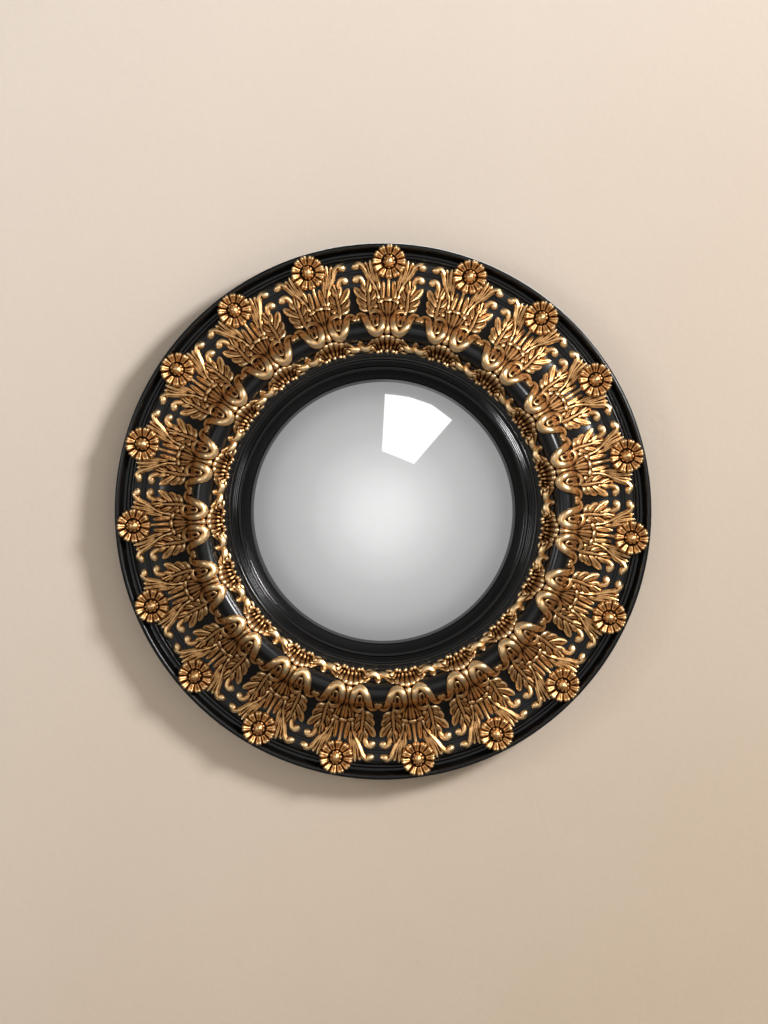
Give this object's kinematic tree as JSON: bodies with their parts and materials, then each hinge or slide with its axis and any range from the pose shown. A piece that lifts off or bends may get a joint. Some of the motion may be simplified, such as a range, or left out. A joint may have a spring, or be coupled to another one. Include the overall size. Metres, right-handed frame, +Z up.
{
  "type": "convex mirror",
  "caption": "Round convex butler's mirror: bowed glass in a reeded slip and a turned black frame with cast bronze-gilt rosettes and acanthus crests, backed by a board under turn buttons.",
  "frame": {"origin": "centre of the back ring's flat face, on the plane of the wall", "axes": "+Z up the wall, -Y towards the room along the mirror's axis, +Y into the wall, +X to the viewer's right"},
  "size_m": [0.4, 0.0564, 0.4],
  "materials": {
    "ebonised_wood": "satin black",
    "ebonised_slip": "satin black",
    "bronze_gilt": "antique bronze gilt",
    "mirror_glass": "silvered",
    "board": "bare board",
    "cork": "cork",
    "button_brass": "dull",
    "hanger_brass": "dull",
    "iron_screws": "dark steel"
  },
  "bodies": {
    "mirror": {"outer_frame": "ebonised_wood", "back_ring": "ebonised_wood", "cushion_moulding": "ebonised_wood", "reeded_slip": "ebonised_slip", "convex_glass": "mirror_glass", "backing_board": "board", "packing_blocks": "cork", "button_screws": "iron_screws", "hanger_strap": "hanger_brass", "strap_screws": "iron_screws", "rosette_01": "bronze_gilt", "rosette_02": "bronze_gilt", "rosette_03": "bronze_gilt", "rosette_04": "bronze_gilt", "rosette_05": "bronze_gilt", "rosette_06": "bronze_gilt", "rosette_07": "bronze_gilt", "rosette_08": "bronze_gilt", "rosette_09": "bronze_gilt", "rosette_10": "bronze_gilt", "rosette_11": "bronze_gilt", "rosette_12": "bronze_gilt", "rosette_13": "bronze_gilt", "rosette_14": "bronze_gilt", "rosette_15": "bronze_gilt", "rosette_16": "bronze_gilt", "rosette_17": "bronze_gilt", "rosette_18": "bronze_gilt", "rosette_19": "bronze_gilt", "acanthus_crest_01": "bronze_gilt", "acanthus_crest_02": "bronze_gilt", "acanthus_crest_03": "bronze_gilt", "acanthus_crest_04": "bronze_gilt", "acanthus_crest_05": "bronze_gilt", "acanthus_crest_06": "bronze_gilt", "acanthus_crest_07": "bronze_gilt", "acanthus_crest_08": "bronze_gilt", "acanthus_crest_09": "bronze_gilt", "acanthus_crest_10": "bronze_gilt", "acanthus_crest_11": "bronze_gilt", "acanthus_crest_12": "bronze_gilt", "acanthus_crest_13": "bronze_gilt", "acanthus_crest_14": "bronze_gilt", "acanthus_crest_15": "bronze_gilt", "acanthus_crest_16": "bronze_gilt", "acanthus_crest_17": "bronze_gilt", "acanthus_crest_18": "bronze_gilt", "acanthus_crest_19": "bronze_gilt"},
    "button_1": {"turn_button_1": "button_brass"},
    "button_2": {"turn_button_2": "button_brass"},
    "button_3": {"turn_button_3": "button_brass"},
    "button_4": {"turn_button_4": "button_brass"},
    "ring": {"hanging_ring": "hanger_brass"}
  },
  "joints": [
    {"name": "button_1_turn", "type": "hinge", "parent": "mirror", "child": "button_1", "pos_m": [0.09058, -0.0047, 0.09058], "axis": [0, 1, 0], "continuous": true},
    {"name": "button_2_turn", "type": "hinge", "parent": "mirror", "child": "button_2", "pos_m": [0.09058, -0.0047, -0.09058], "axis": [0, 1, 0], "continuous": true},
    {"name": "button_3_turn", "type": "hinge", "parent": "mirror", "child": "button_3", "pos_m": [-0.09058, -0.0047, -0.09058], "axis": [0, 1, 0], "continuous": true},
    {"name": "button_4_turn", "type": "hinge", "parent": "mirror", "child": "button_4", "pos_m": [-0.09058, -0.0047, 0.09058], "axis": [0, 1, 0], "continuous": true},
    {"name": "ring_swing", "type": "hinge", "parent": "mirror", "child": "ring", "pos_m": [0, -0.00344, 0.1421], "axis": [-1, 0, 0], "range_deg": [0, 170]}
  ]
}
